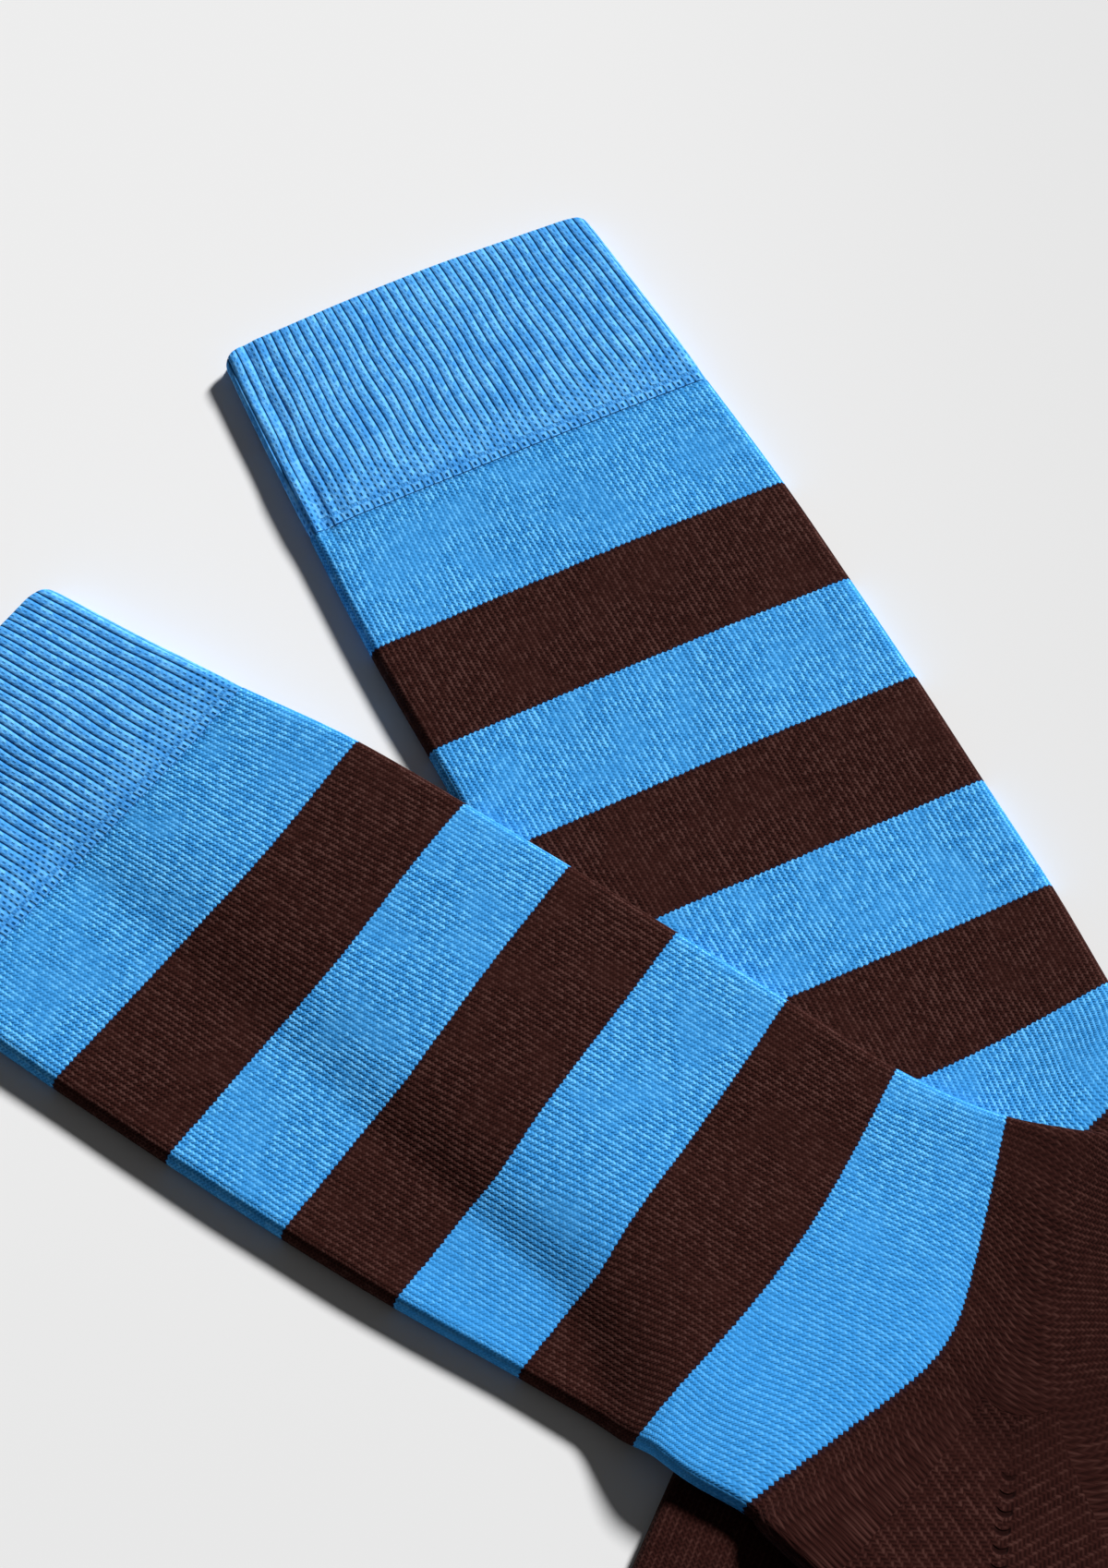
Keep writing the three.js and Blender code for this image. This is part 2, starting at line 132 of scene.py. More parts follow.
# Sections: name, front fold, middle of the side, back fold, softness of the bend at the side
UPPER_LEG = [
    ("mouth", (0.8, 38.2), (-1.6, -0.3), (0.5, -38.8), 2.0),
    ("cuff seam", (46.0, 40.2), (43.8, -0.5), (41.5, -41.6), 2.0),
    ("brown 1", (70.7, 41.6), (70.4, -0.5), (66.8, -42.6), 2.0),
    ("blue 2", (94.2, 41.6), (93.4, -0.7), (91.6, -43.1), 2.0),
    ("brown 2", (116.7, 41.5), (117.2, -0.9), (115.9, -43.3), 2.0),
    ("blue 3", (139.6, 41.0), (141.4, -0.9), (138.8, -42.8), 1.6),
    ("brown 3", (162.6, 40.6), (166.0, -0.6), (163.0, -41.4), 1.2),
    ("blue 4", (185.1, 40.0), (192.4, -0.3), (185.6, -40.6), 0.6),
]
LOWER_LEG = [
    ("mouth", (0.8, 39.0), (-1.5, 0.0), (0.6, -38.4), 2.0),
    ("cuff seam", (47.3, 41.3), (46.2, -0.5), (47.6, -41.8), 2.0),
    ("brown 1", (75.9, 42.2), (74.2, -0.8), (75.6, -43.5), 2.0),
    ("blue 2", (100.2, 42.1), (98.7, -1.0), (100.4, -44.1), 2.0),
    ("brown 2", (124.9, 42.0), (123.8, -1.2), (124.6, -44.5), 2.0),
    ("blue 3", (149.2, 41.6), (148.9, -1.4), (149.4, -44.5), 1.6),
    ("brown 3", (172.6, 41.3), (174.0, -1.5), (173.6, -44.5), 1.2),
    ("blue 4", (193.5, 40.8), (199.5, -1.2), (195.0, -43.6), 0.6),
]
HEEL = [
    ("heel", (205.0, 42.9), (221.8, 0.3), (207.2, -41.0), 0.2),
    ("pocket", (210.4, 44.9), (232.0, -4.7), (224.5, -45.4), 0.3),
    ("pocket middle", (211.8, 45.5), (234.3, -5.8), (239.5, -47.8), 0.4),
    ("gore", (213.0, 46.1), (236.2, -6.5), (252.5, -43.5), 0.5),
]
FOREFOOT = [  # in the leg's frame folded over at the gore line
    ("ball", (85.0, 41.8), (84.5, -0.5), (85.0, -42.8), 2.0),
    ("toe", (60.0, 41.2), (57.5, -0.5), (60.0, -42.2), 2.0),
    ("toe middle", (41.0, 37.6), (36.5, -0.5), (41.0, -39.0), 1.6),
    ("toe round", (26.0, 30.4), (21.0, -0.6), (26.0, -32.0), 1.2),
    ("toe end", (15.6, 21.4), (11.8, -0.7), (15.6, -23.0), 1.0),
    ("toe tip", (9.8, 11.6), (8.2, -0.8), (9.8, -13.2), 1.0),
]
TOE_POLE = {"outer": (6.4, -0.8), "inner": (11.0, -0.8)}
TOE_TIP_THICK = 2.4
TOE_TIP_WALL = 0.8

# Colour band reached at each section: even is blue, odd is brown
BAND_AT = {
    "cuff seam": 0, "brown 1": 1, "blue 2": 2, "brown 2": 3, "blue 3": 4, "brown 3": 5, "blue 4": 6,
    "heel": 7, "foot heel": 7.6, "foot blue 4": 8.79, "foot brown 3": 9.5, "ball": 13.75, "toe": 15,
    "toe tip": 17.1,
}

# Soft troughs and ridges of the laid cloth, in a sock's flat frame: from, to, half width, height
UPPER_CREASES = [
    ((205, 38), (226, 2), 9, -0.35),
    ((222, 30), (233, -2), 6, 0.30),
    ((228, -8), (236, -12), 5, -0.35),
    ((60, -12), (150, -14), 16, 0.30),
    ((150, 14), (200, 18), 11, -0.25),
    ((40, 20), (110, 16), 12, -0.22),
    ((118, -34), (190, -33), 6, -0.25),
    ((190, -30), (222, -34), 7, 0.25),
    ((262, 40), (292, 66), 9, -0.35),
    ((300, 60), (350, 110), 12, 0.30),
]
LOWER_CREASES = [
    ((2, 33.8), (21, 34.8), 1.4, -0.65),
    ((15, 36.0), (50, 37.4), 1.5, -0.80),
    ((26, 33.0), (46, 34.6), 1.4, -0.35),
    ((8, 37.6), (30, 38.6), 1.2, -0.35),
    ((4, 31.0), (16, 31.6), 1.3, -0.25),
    ((58, -18), (130, -14), 13, 0.28),
    ((66, 16), (120, 20), 12, -0.25),
    ((130, 12), (190, 16), 14, 0.25),
    ((150, -26), (206, -24), 9, -0.28),
    ((210, 38), (231, 0), 9, -0.35),
    ((228, 28), (238, -4), 6, 0.30),
    ((262, 40), (292, 66), 9, -0.30),
    ((310, 80), (350, 124), 12, 0.30),
]

# Fineness of the meshes
LEG_PITCH = 1.6
RIM_STEPS = 5
RIB_STEPS = 10
CUFF_PITCH = 1.3
LIP_STEPS = 5
HEEL_PITCH = 0.35
TOE_PITCH = 1.3
SHARP_FROM = math.radians(62)


# The shape of the laid socks

def folded_at_gore(point, gore):
    """A point folded over at the gore line, which leans back from the leg."""
    point = np.asarray(point, float)
    return point - 2 * ((point - gore) @ GORE_NORMAL) * GORE_NORMAL


def laid_sections(leg, placing):
    """All sections of one sock from mouth to toe, with how far down the side each one lies."""
    shift = np.array(placing["shift"], float)
    heel = [(name, *(np.array(p) + shift for p in points), bend) for name, *points, bend in HEEL]
    gore = heel[-1][2]
    folded = lambda row: (*(folded_at_gore(p, gore) for p in row[1:4]), row[4])
    foot_back = [("foot " + row[0], *folded(row)) for row in [*heel[-2::-1], *leg[:-4:-1]]]
    forefoot = [(row[0], *folded(row)) for row in FOREFOOT]
    rows = [*leg, *heel, *foot_back, *forefoot]
    side = np.array([row[2] for row in rows], float)
    at = np.concatenate([[0], np.cumsum(np.linalg.norm(np.diff(side, axis=0), axis=1))])
    return {
        "names": [row[0] for row in rows], "at": at, "gore": np.array(gore), "placing": placing,
        "front": np.array([row[1] for row in rows], float), "side": side,
        "back": np.array([row[3] for row in rows], float), "bend": np.array([row[4] for row in rows], float),
        "pole": {key: folded_at_gore(point, gore) for key, point in TOE_POLE.items()},
    }


def place_of(sock, name):
    return sock["at"][sock["names"].index(name)]


def smooth_curve(knots, values, at):
    """A smooth curve through values at knots, by cubic pieces with three-point slopes."""
    step = np.diff(knots)
    rise = np.diff(values) / step
    slope = np.empty(len(knots))
    slope[0], slope[-1] = rise[0], rise[-1]
    slope[1:-1] = (rise[:-1] * step[1:] + rise[1:] * step[:-1]) / (step[:-1] + step[1:])
    i = np.clip(np.searchsorted(knots, at, side="left") - 1, 0, len(knots) - 2)
    h = step[i]
    t = (at - knots[i]) / h
    return ((2 * t**3 - 3 * t**2 + 1) * values[i] + (t**3 - 2 * t**2 + t) * h * slope[i]
            + (3 * t**2 - 2 * t**3) * values[i + 1] + (t**3 - t**2) * h * slope[i + 1])


def sections_at(sock, at):
    at = np.asarray(at, float)
    point = lambda key: np.stack([smooth_curve(sock["at"], sock[key][:, k], at) for k in (0, 1)], -1)
    return {"front": point("front"), "side": point("side"), "back": point("back"),
            "bend": smooth_curve(sock["at"], sock["bend"], at)}


def half_widths(section):
    return np.linalg.norm(section["front"] - section["back"], axis=-1) / 2


def half_width_at(sock, name):
    return half_widths(sections_at(sock, [place_of(sock, name)]))[0]


def hand(sock):
    return -1 if sock["placing"]["mirrored"] else 1


def across_face(around):
    """How far across its face a line lies, from 0 at the front fold to 1 at the back fold."""
    return np.where(around <= 1, around, 2 - around)


def on_section(section, across):
    """Points of section lines; across is 1 at the front fold and -1 at the back fold."""
    bend = section["bend"][:, None]
    ramp = lambda a: (np.sqrt(a * a + bend * bend) + a - (np.sqrt(1 + bend * bend) - 1)) / 2
    side = section["side"][:, None]
    return (side + (section["front"][:, None] - side) * ramp(across)[..., None]
            + (section["back"][:, None] - side) * ramp(-across)[..., None])


def tube_profile(around, half_width, thick):
    """The flattened tube's section: 0 to 1 is the upper face from the front fold, 1 to 2 the lower face."""
    radius = thick / 2
    rim = math.pi * radius / 2
    straight = 2 * (half_width - radius)
    upper = around <= 1
    share = across_face(around)
    length = share * (straight + 2 * rim)
    flat = np.clip(length - rim, 0, straight)
    turn = np.where(length < rim, length - rim, np.maximum(length - rim - straight, 0)) / radius
    lean, rise = -np.sin(turn), np.cos(turn)
    across = half_width - radius - flat + radius * lean
    height = np.where(upper, radius + radius * rise, radius - radius * rise)
    unrolled = (0.5 - share) * (straight + 2 * rim)
    return across, height, lean, np.where(upper, rise, -rise), unrolled


def outside_lower(x, y):
    """Distance outside the lower sock's outline, and 0 inside it."""
    nearest = np.full(x.shape, np.inf)
    inside = np.zeros(x.shape, bool)
    for (ax, ay), (bx, by) in zip(np.roll(lower_outline, 1, axis=0), lower_outline):
        t = np.clip(((x - ax) * (bx - ax) + (y - ay) * (by - ay)) / ((bx - ax)**2 + (by - ay)**2), 0, 1)
        nearest = np.minimum(nearest, np.hypot(x - ax - (bx - ax) * t, y - ay - (by - ay) * t))
        if ay != by:
            inside ^= ((ay > y) != (by > y)) & (x < ax + (bx - ax) * (y - ay) / (by - ay))
    return np.where(inside, 0, nearest)


def soft_step(t):
    t = np.clip(t, 0, 1)
    return t**3 * (t * (6 * t - 15) + 10)


def placed(sock, flat, z, top=0.0, puff=0.0):
    """From a sock's flat frame to the shared one, on top of the other sock where it crosses it.

    top is 1 on the upper face and 0 on the lower one, and puff is how far the upper face stands up more.
    """
    placing = sock["placing"]
    angle = math.radians(placing["heading"])
    x, y = flat[..., 0], flat[..., 1] * hand(sock)
    shared_x = placing["mouth"][0] + x * math.cos(angle) - y * math.sin(angle)
    shared_y = placing["mouth"][1] + x * math.sin(angle) + y * math.cos(angle)
    if placing["lift"]:
        away = outside_lower(shared_x, shared_y) - LIFT_MARGIN
        inside = flat[..., 1] - LIFT_BACK
        slope = LIFT_SLOPE_AT_BACK + (LIFT_SLOPE - LIFT_SLOPE_AT_BACK) * soft_step(inside / LIFT_BACK_WIDTH)
        raised = LIFT * soft_step(1 - away / (slope - LIFT_MARGIN))
        top_slope = TOP_SLOPE_AT_BACK + (TOP_SLOPE - TOP_SLOPE_AT_BACK) * ease(inside / TOP_BACK_WIDTH)
        more = top * (TOP_LIFT * ease(1 - away / (top_slope - LIFT_MARGIN)) - raised + puff)
        shared_y = shared_y - LEAN * more
        z = z + raised + more
    return np.stack([shared_x + PICTURE_CENTRE[0], shared_y + PICTURE_CENTRE[1], z + 0 * shared_x], -1)


def ripple(sock, flat):
    """Height of the soft troughs and ridges, with a faint unevenness all over."""
    x, y = flat[..., 0], flat[..., 1]
    height = (UNEVEN_WIDE * np.sin(x / 9.1 + 0.6 * np.sin(y / 13)) * np.sin(y / 11.3 + x / 31)
              + UNEVEN_FINE * np.sin(x / 4.7 - y / 8.9) * np.sin(y / 6.1 + 1.7 + x / 17))
    for (ax, ay), (bx, by), width, rise in sock["creases"]:
        span = (bx - ax)**2 + (by - ay)**2
        t = ((x - ax) * (bx - ax) + (y - ay) * (by - ay)) / span
        end = np.clip(t, 0, 1)
        bow = CREASE_BOW * width * np.sin(5 * t + by)
        away = np.hypot(x - ax - (bx - ax) * end, y - ay - (by - ay) * end + bow) / width
        height = height + rise * np.exp(-away * away) * (0.8 + 0.2 * np.sin(7 * t + ax))
    return height


def ease(t):
    t = np.clip(t, 0, 1)
    return t * t * (3 - 2 * t)


def puff_at(sock, at, around):
    """How far the upper sock's heel stands open at its back fold."""
    stations = ("heel", "pocket middle", "foot pocket", "foot brown 3")
    start, full, level, end = (place_of(sock, name) for name in stations)
    down = ease((at - start) / (full - start)) * (1 - ease((at - level) / (end - level)))
    return PUFF * down[:, None] * ease((across_face(around) - PUFF_FROM) / (1 - PUFF_FROM))


def cloth_points(sock, at, around, depth, thick, rib=None, pull=0.0):
    """Points of the cloth in the shared frame and in the sock's flat one.

    depth is how far they lie inside the plain outer face, rib how far ribs stand out, and pull how far
    the cloth is drawn down from the mouth.
    """
    section = sections_at(sock, at)
    half_width = half_widths(section)[:, None]
    across, height, lean, rise, unrolled = tube_profile(around, half_width, thick)
    if rib is not None:
        depth = depth - rib * np.clip(1 + RIB_TURNED_UNDER * rise, 0, 1)
    flat = on_section(section, (across - depth * lean) / half_width)
    flat[..., 0] += pull
    if sock["placing"]["lift"]:
        on_leg = (at < place_of(sock, "gore"))[:, None]
        bow = np.exp(-((flat[..., 0] - FOLD_OUT["x"]) / FOLD_OUT["width"])**2) * on_leg
        flat[..., 1] -= FOLD_OUT["out"] * bow * ease(-flat[..., 1] / FOLD_OUT["reach"])
    top = 0.5 + 0.5 * rise
    creased = ripple(sock, flat) * top**2 * np.clip(height, 0, CLOTH_THICK) / CLOTH_THICK
    z = height - depth * rise + creased
    return placed(sock, flat, z, top, puff_at(sock, at, around)), on_section(section, unrolled / half_width)


upper_sock = laid_sections(UPPER_LEG, UPPER_SOCK)
lower_sock = laid_sections(LOWER_LEG, LOWER_SOCK)
upper_sock["creases"], lower_sock["creases"] = UPPER_CREASES, LOWER_CREASES


def evenly(start, end, pitch):
    return np.linspace(start, end, max(1, round((end - start) / pitch)) + 1)


def floor_outline(sock):
    stations = sections_at(sock, evenly(0, sock["at"][-1], OUTLINE_PITCH))
    centre = np.array(PICTURE_CENTRE)
    edges = [placed(sock, stations[key], 0)[:, :2] - centre for key in ("front", "back")]
    return np.concatenate([edges[0], edges[1][::-1]])


lower_outline = floor_outline(lower_sock)


# Meshes

BAKE_OUTER = 0.90
BAKE_INNER = (0.91, 0.98)
BAKE_EDGE = (0.985, 1.0)
CELL_SIDES = {
    "outer": [(0, 0, 0), (0, 0, 1), (0, 1, 1), (0, 1, 0)],
    "inner": [(1, 0, 0), (1, 1, 0), (1, 1, 1), (1, 0, 1)],
    "start": [(0, 0, 0), (1, 0, 0), (1, 0, 1), (0, 0, 1)],
    "end": [(0, 1, 1), (1, 1, 1), (1, 1, 0), (0, 1, 0)],
    "left": [(0, 1, 0), (1, 1, 0), (1, 0, 0), (0, 0, 0)],
    "right": [(0, 0, 1), (1, 0, 1), (1, 1, 1), (0, 1, 1)],
}


def inner_bake(share):
    return BAKE_INNER[0] + share * (BAKE_INNER[1] - BAKE_INNER[0])


def cloth_wall(name, outer, inner, maps, wraps=True, kept=None, tip=None, mirrored=False):
    """A closed wall of cloth from a grid of outer and a grid of inner points.

    maps holds a surface map for each name, as values at the first and the last row of each row of cells.
    """
    rows, columns = outer.shape[:2]
    cells = columns if wraps else columns - 1
    if kept is None:
        kept = np.ones((rows - 1, cells), bool)
    ring = np.pad(kept, ((1, 1), (0, 0)))
    missing = {"outer": kept, "inner": kept, "start": kept & ~ring[:-2]}
    missing["end"] = kept & ~ring[2:]
    if tip:
        missing["end"] = missing["end"] & (np.arange(rows - 1) < rows - 2)[:, None]
    if wraps:
        missing["left"], missing["right"] = kept & ~np.roll(kept, 1, 1), kept & ~np.roll(kept, -1, 1)
    else:
        wide = np.pad(kept, ((0, 0), (1, 1)))
        missing["left"], missing["right"] = kept & ~wide[:, :-2], kept & ~wide[:, 2:]
    end_row = rows if tip else rows - 1
    faces, uvs = [], {key: [] for key in ["OFBake", *maps]}
    for side, corners in CELL_SIDES.items():
        i, j = np.nonzero(missing[side])
        surface, down, along = (np.array(c) for c in zip(*corners))
        row, column = i[:, None] + down, j[:, None] + along
        faces.append(surface * rows * columns + row * columns + column % columns)
        for key, (first, last) in maps.items():
            uvs[key].append(np.where(down[:, None] == 0, first[i[:, None], column], last[i[:, None], column]))
        if side == "outer":
            bake = np.stack([column / cells, row / end_row * BAKE_OUTER], -1)
        elif side == "inner":
            bake = np.stack([column / cells, inner_bake(row / end_row)], -1)
        else:
            bake = None
        uvs["OFBake"].append(bake)
    edge_count = sum(len(f) for f, b in zip(faces, uvs["OFBake"]) if b is None)
    done = 0
    for k, bake in enumerate(uvs["OFBake"]):
        if bake is None:
            order = (done + np.arange(len(faces[k])))[:, None] + np.array([0, 0, 1, 1])
            height = np.broadcast_to([BAKE_EDGE[0], BAKE_EDGE[1], BAKE_EDGE[1], BAKE_EDGE[0]], order.shape)
            uvs["OFBake"][k] = np.stack([order / edge_count, height], -1)
            done += len(faces[k])
    quads = np.concatenate(faces)
    loops = {key: np.concatenate(parts) for key, parts in uvs.items()}
    points = np.concatenate([outer.reshape(-1, 3), inner.reshape(-1, 3)])
    triangles = np.empty((0, 3), int)
    if tip:
        pole = len(points)
        points = np.concatenate([points, tip["points"]])
        j = np.arange(cells)
        last = (rows - 1) * columns
        left, right = last + j, last + (j + 1) % columns
        outer_fan = np.stack([left, right, np.full(cells, pole)], -1)
        inner_fan = np.stack([right, left, np.full(cells, pole + 1 - rows * columns)], -1)
        triangles = np.concatenate([outer_fan, inner_fan + rows * columns])
        fan_maps = {}
        for key, (first, final) in maps.items():
            here, there = final[-1, j], final[-1, j + 1]
            middle = (here + there) / 2 + tip["beyond"].get(key, 0)
            both = [np.stack([here, there, middle], 1), np.stack([there, here, middle], 1)]
            fan_maps[key] = np.concatenate(both)
        top = (rows - 1) / rows
        fan = lambda v0, v1: np.stack([np.stack([j / cells, np.full(cells, v0)], -1),
                                       np.stack([(j + 1) / cells, np.full(cells, v0)], -1),
                                       np.stack([(j + 0.5) / cells, np.full(cells, v1)], -1)], 1)
        fan_maps["OFBake"] = np.concatenate([
            fan(top * BAKE_OUTER, BAKE_OUTER), fan(inner_bake(top), inner_bake(1.0))[:, [1, 0, 2]]])
    if mirrored:
        quads = quads[:, ::-1]
        loops = {key: value[:, ::-1] for key, value in loops.items()}
        triangles = triangles[:, ::-1]
        if tip:
            fan_maps = {key: value[:, ::-1] for key, value in fan_maps.items()}
    mesh = bpy.data.meshes.new(name)
    mesh.from_pydata((points * MM).tolist(), [], quads.tolist() + triangles.tolist())
    for key, value in loops.items():
        flat = value.reshape(-1, 2)
        if tip:
            flat = np.concatenate([flat, fan_maps[key].reshape(-1, 2)])
        mesh.uv_layers.new(name=key).data.foreach_set("uv", flat.astype(np.float32).ravel())
    mesh.polygons.foreach_set("use_smooth", np.ones(len(mesh.polygons), bool))
    mesh.set_sharp_from_angle(angle=SHARP_FROM)
    piece = bpy.data.objects.new(name, mesh)
    bpy.context.scene.collection.objects.link(piece)
    return piece


def smooth_map(grid):
    """A surface map that is unbroken from row to row."""
    return grid[:-1], grid[1:]


def face_lines(half_width):
    """Lines round a whole face, from the front fold to the back fold, close together round the rims."""
    rim = math.pi * CLOTH_THICK / 4 / (2 * half_width - CLOTH_THICK + math.pi * CLOTH_THICK / 2)
    count = round(half_width / LEG_PITCH)
    half = np.concatenate([np.linspace(0, rim, RIM_STEPS, endpoint=False), np.linspace(rim, 0.5, count + 1)])
    return np.concatenate([half, 1 - half[-2::-1]])


def tube_lines(sock, name):
    """Lines all round the tube, spaced for its width at a section."""
    upper = face_lines(half_width_at(sock, name))
    return np.concatenate([upper, 2 - upper[-2:0:-1]])


def closed_ring(flat):
    return np.concatenate([flat, flat[:, :1]], axis=1)


def at_sections(sock, table):
    """Knots and values of a table of values by section name."""
    names = [name for name in sock["names"] if name in table]
    knots = np.array([place_of(sock, name) for name in names])
    return knots, np.array([table[name] for name in names], float)


def bands_down(sock, at):
    return smooth_curve(*at_sections(sock, BAND_AT), at)


def soft_ramp(t, width):
    return (t + np.sqrt(t * t + width * width)) / 2


def jersey_map(sock, around, at, flat):
    """Wales and courses of plain jersey, with the wales counted towards the shaded side, so that the painted
    highlight lies on the lit side of each wale.

    Past the gore line the wales run straight on for a way before they turn to the foot. At the heel's
    back they lean back at once.
    """
    ring = np.append(around, 2.0)
    bands = bands_down(sock, at)
    knit = grid_map(ring * WALES, bands * BAND_COURSES)
    wale = 2 * half_width_at(sock, "blue 3") / WALES
    upper = np.where(ring <= 1, 1, -1)
    reach = (closed_ring(flat) - sock["gore"]) @ GORE_NORMAL
    turn_at = STRAIGHT_WALES * wale / (2 * GORE_NORMAL[1])
    turned = soft_ramp(reach - turn_at, LATE_TURN_SOFTNESS) - soft_ramp(reach, GORE_TURN_SOFTNESS)
    later = 2 * GORE_NORMAL[1] * turned / wale * (at > place_of(sock, "blue 3"))[:, None]
    past_border = np.maximum(bands[:, None] - BAND_AT["heel"], 0) * BAND_COURSES * COURSE_LENGTH
    near_back = ease((across_face(ring) - 0.5) / 0.25) * (at <= place_of(sock, "gore"))[:, None]
    lean = np.tan(LEG_WALES_RUN) * soft_ramp(past_border - 1, LEAN_SOFTNESS) * near_back / wale
    knit[..., 0] = (knit[..., 0] + upper * (later + lean)) * hand(sock)
    return smooth_map(knit)


def grid_map(across, down):
    """A surface map with one value from the column and one from the row."""
    return np.stack(np.broadcast_arrays(across[None, :], down[:, None]), -1)


def leg_and_foot(name, sock):
    """Leg, instep and foot in one tube, open at the back where the heel pocket is knitted in."""
    around = tube_lines(sock, "blue 3")
    pocket, pocket_end = place_of(sock, "pocket"), place_of(sock, "foot pocket")
    leg = evenly(place_of(sock, "cuff seam"), pocket, LEG_PITCH)
    ankle = evenly(pocket, pocket_end, LEG_PITCH)[1:-1]
    foot = evenly(pocket_end, place_of(sock, "toe"), LEG_PITCH)
    at = np.concatenate([leg, ankle, foot])
    outer, flat = cloth_points(sock, at, around, 0, CLOTH_THICK)
    inner, _ = cloth_points(sock, at, around, LEG_WALL, CLOTH_THICK)
    middle = len(around) // 4
    kept = np.ones((len(at) - 1, len(around)), bool)
    kept[len(leg) - 1:len(at) - len(foot), middle:len(around) - middle] = False
    gore = smooth_map(gore_map(closed_ring(flat), sock["gore"]))
    maps = {"Knit": jersey_map(sock, around, at, flat), "Gore": gore}
    return cloth_wall(name, outer, inner, maps, kept=kept, mirrored=sock["placing"]["mirrored"])


def cuff(name, sock):
    """The turned welt: ribs raised on the upper face and round both folds, and a rounded lip."""
    seam = place_of(sock, "cuff seam")
    count = RIBS * RIB_STEPS
    under = np.linspace(count, 2 * count, 4 * RIBS, endpoint=False)
    around = np.concatenate([np.arange(count), under]) / count
    lip = CUFF_WALL / 2
    turn = np.radians(np.linspace(LIP_FROM, 90, LIP_STEPS))
    lip_at, lip_inset = lip * (1 - np.cos(turn)), lip * (1 - np.sin(turn))
    plain = evenly(lip_at[-1], seam, CUFF_PITCH)[1:]
    at = np.concatenate([lip_at, plain])
    levelled = (CUFF_THICK - CLOTH_THICK) / 2 * ease((plain - seam + CUFF_LEVELLED) / CUFF_LEVELLED)
    inset = np.concatenate([lip_inset, levelled])[:, None]
    down = at[:, None]
    sway = sum(size * np.sin(down / length + around * turns) for size, length, turns in RIB_SWAY) / RIBS
    wavy = np.where((around > RIM_SHARE) & (around < 1 - RIM_SHARE), around + sway, around)
    rib_number = around * RIBS
    ridge = 1 - np.abs(2 * (rib_number % 1) - 1) ** RIB_FLATNESS
    waves = np.sin(rib_number * RIB_UNEVEN["ribs"]) * np.sin(down / RIB_UNEVEN["length"] + rib_number)
    uneven = 1 - RIB_UNEVEN["share"] * (1 - waves)
    at_mouth = RIB_AT_MOUTH["share"] + (1 - RIB_AT_MOUTH["share"]) * ease(down / RIB_AT_MOUTH["length"])
    fade = (1 - ease((down - (seam - RIB_FADE["from"])) / RIB_FADE["length"])) * at_mouth
    rib = np.where(around < RIBS_END, RIB_HEIGHT * ridge * uneven * fade, 0)
    from_fold = np.minimum(around % 1, 1 - around % 1) * 2 * MOUTH_HALF
    near_fold = np.clip(1 - from_fold / (MOUTH_CORNER_SPREAD * MOUTH_CORNER), 0, 1)**2
    at_back = np.where(np.abs(around - 1) < 0.5, MOUTH_CORNER_AT_BACK, 1)
    corner = MOUTH_CORNER * at_back * near_fold * (1 - ease(down / MOUTH_CORNER_LENGTH))
    bow = MOUTH_BOW * np.sin(around * MOUTH_BOW_TURNS + 1) * (1 - ease(down / MOUTH_BOW_LENGTH))
    outer, _ = cloth_points(sock, at, wavy, inset, CUFF_THICK, rib, corner + bow)
    inner, _ = cloth_points(sock, at, wavy, CUFF_WALL - inset, CUFF_THICK, None, corner + bow)
    maps = {"Knit": smooth_map(grid_map(np.append(rib_number, 2 * RIBS), at / seam * CUFF_COURSES))}
    return cloth_wall(name, outer, inner, maps, mirrored=sock["placing"]["mirrored"])


def heel_map(flat, gore, run, wale):
    """Wales and courses of the heel, straight and evenly spaced along one direction."""
    away = flat - gore
    along = away @ np.array([math.cos(run), math.sin(run)])
    across = away @ np.array([-math.sin(run), math.cos(run)])
    return np.stack([-across / wale, along / HEEL_COURSE], -1)


def gore_map(flat, gore):
    """Steps along the gore line and reaches away from it."""
    away = flat - gore
    return np.stack([away @ GORE_DOWN / GORE_STEP, away @ GORE_NORMAL / GORE_REACH], -1)


def heel(name, sock):
    """The heel pocket, from the middle of one side round the back fold to the middle of the other."""
    face = face_lines(half_width_at(sock, "blue 3"))
    back = face[(len(face) - 1) // 2:]
    around = np.concatenate([back, 2 - back[-2::-1]])
    first = evenly(place_of(sock, "pocket"), place_of(sock, "gore"), HEEL_PITCH)
    second = evenly(place_of(sock, "gore"), place_of(sock, "foot pocket"), HEEL_PITCH)
    at = np.concatenate([first, second[1:]])
    outer, flat = cloth_points(sock, at, around, 0, CLOTH_THICK)
    inner, _ = cloth_points(sock, at, around, LEG_WALL, CLOTH_THICK)
    gore = sock["gore"]
    leg_side = heel_map(flat, gore, LEG_WALES_RUN, HEEL_LEG_WALE)
    foot_side = heel_map(flat, gore, FOOT_WALES_RUN, HEEL_FOOT_WALE)
    on_leg = (np.arange(len(at) - 1) < len(first) - 1)[:, None, None]
    # On the mirrored sock the wales are counted the other way, so that the painted highlight stays on their
    # lit side.
    way = np.array([hand(sock), 1])
    row_sets = (slice(None, -1), slice(1, None))
    knit = [np.where(on_leg, leg_side[rows], foot_side[rows]) * way for rows in row_sets]
    maps = {"Knit": knit, "Gore": smooth_map(gore_map(flat, gore))}
    return cloth_wall(name, outer, inner, maps, wraps=False, mirrored=sock["placing"]["mirrored"])


